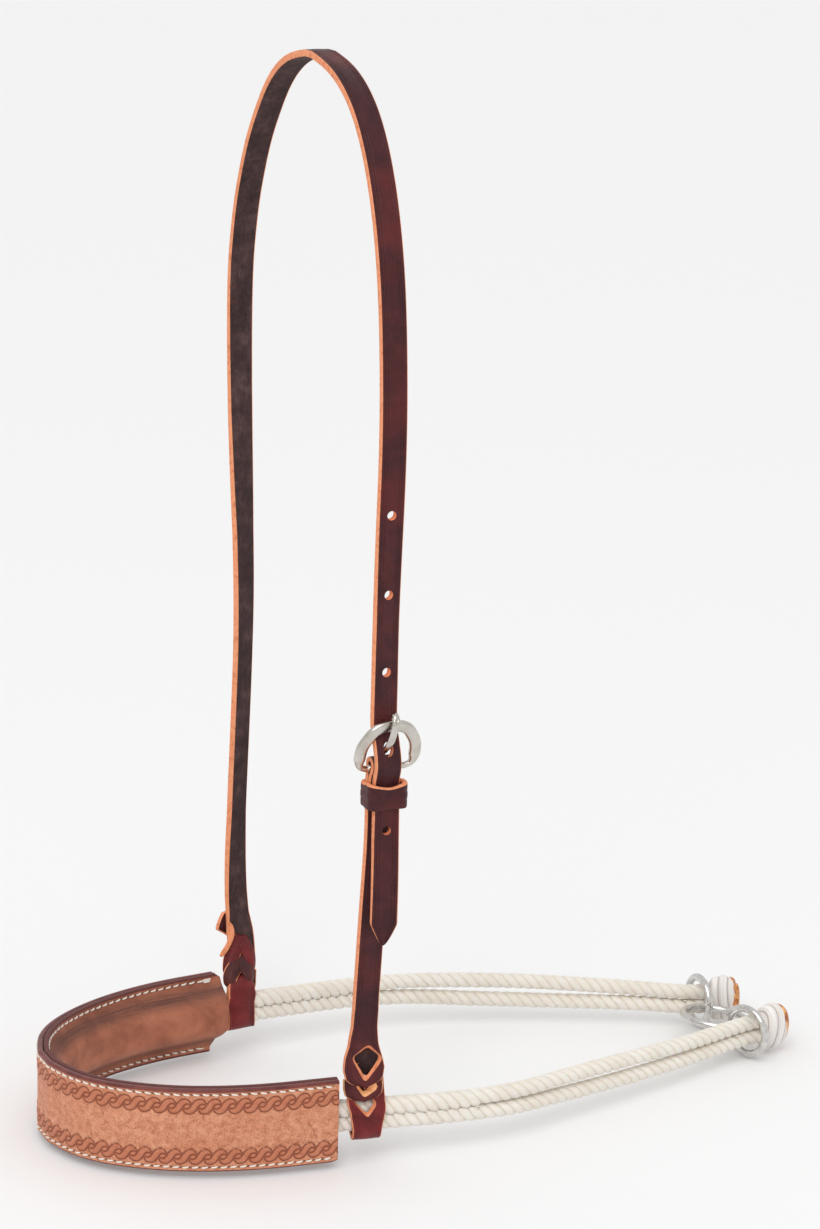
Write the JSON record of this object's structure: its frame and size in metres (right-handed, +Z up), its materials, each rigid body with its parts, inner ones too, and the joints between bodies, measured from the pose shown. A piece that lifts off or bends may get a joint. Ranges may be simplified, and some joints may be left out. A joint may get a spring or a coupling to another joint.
{
  "type": "rope noseband with hanger",
  "caption": "Bitless double-rope noseband with a leather-covered nose, jaw tie ring, sewn rope knots and a slim leather hanger that buckles on the near side.",
  "frame": {"origin": "on the underside of the crown strap where it rests on the poll, in the hanger's own plane", "axes": "+Z up, +X from the nose towards the jaw, so the near (left) side with the buckle is at -Y"},
  "size_m": [0.4035, 0.1976, 0.5235],
  "materials": {
    "latigo": "smooth waxed dark burgundy, satin",
    "roughout": "tan leather with burnished dark edges",
    "lining": "brown lining leather, matt",
    "rope": "off-white laid rope, matt",
    "knot": "off-white rope, heat-sealed",
    "ring_steel": "bright plated wire",
    "buckle_steel": "satin plated",
    "thread": "waxed white thread"
  },
  "bodies": {
    "headstall": {"crown_strap": "latigo", "cheek_strap": "latigo"},
    "noseband": {"nose_cover": "roughout", "nose_lining": "lining", "rope_upper": "rope", "rope_lower": "rope", "near_knot": "knot", "far_knot": "knot", "cover_thread_top_outer": "thread", "cover_thread_top_inner": "thread", "cover_thread_bottom_outer": "thread", "cover_thread_bottom_inner": "thread", "rope_thread_near_outer": "thread", "rope_thread_near_inner": "thread", "rope_thread_far_outer": "thread", "rope_thread_far_inner": "thread"},
    "buckle": {"buckle_frame": "buckle_steel"},
    "tongue": {"buckle_tongue": "buckle_steel"},
    "keeper": {"keeper_loop": "latigo"},
    "near_ring": {"near_rope_ring": "ring_steel"},
    "far_ring": {"far_rope_ring": "ring_steel"},
    "tie_ring_body": {"tie_ring": "ring_steel"}
  },
  "joints": [
    {"name": "noseband_swing", "type": "hinge", "parent": "headstall", "child": "noseband", "pos_m": [0.0026, 0, -0.4965], "axis": [0, 1, 0], "range_deg": [-6, 6]},
    {"name": "buckle_tilt", "type": "hinge", "parent": "headstall", "child": "buckle", "pos_m": [0.00165, -0.0874, -0.3155], "axis": [1, 0, 0], "range_deg": [0, 5]},
    {"name": "tongue_lift", "type": "hinge", "parent": "buckle", "child": "tongue", "pos_m": [0.00165, -0.0874, -0.3155], "axis": [1, 0, 0], "range_deg": [0, 4]},
    {"name": "keeper_slide", "type": "slide", "parent": "headstall", "child": "keeper", "axis": [0, 0, 1], "range_m": [-0.013, 0.001]},
    {"name": "near_ring_turn", "type": "hinge", "parent": "noseband", "child": "near_ring", "pos_m": [0.24287, -0.02565, -0.50609], "axis": [0.9345, 0.355, 0.0279], "continuous": true},
    {"name": "far_ring_turn", "type": "hinge", "parent": "noseband", "child": "far_ring", "pos_m": [0.2404, 0.02125, -0.50607], "axis": [0.999, -0.0401, -0.0209], "continuous": true},
    {"name": "tie_ring_swing", "type": "hinge", "parent": "noseband", "child": "tie_ring_body", "pos_m": [0.24017, -0.00255, -0.50681], "axis": [-0.0061, 0.9991, -0.0414], "range_deg": [-40, 25]}
  ]
}
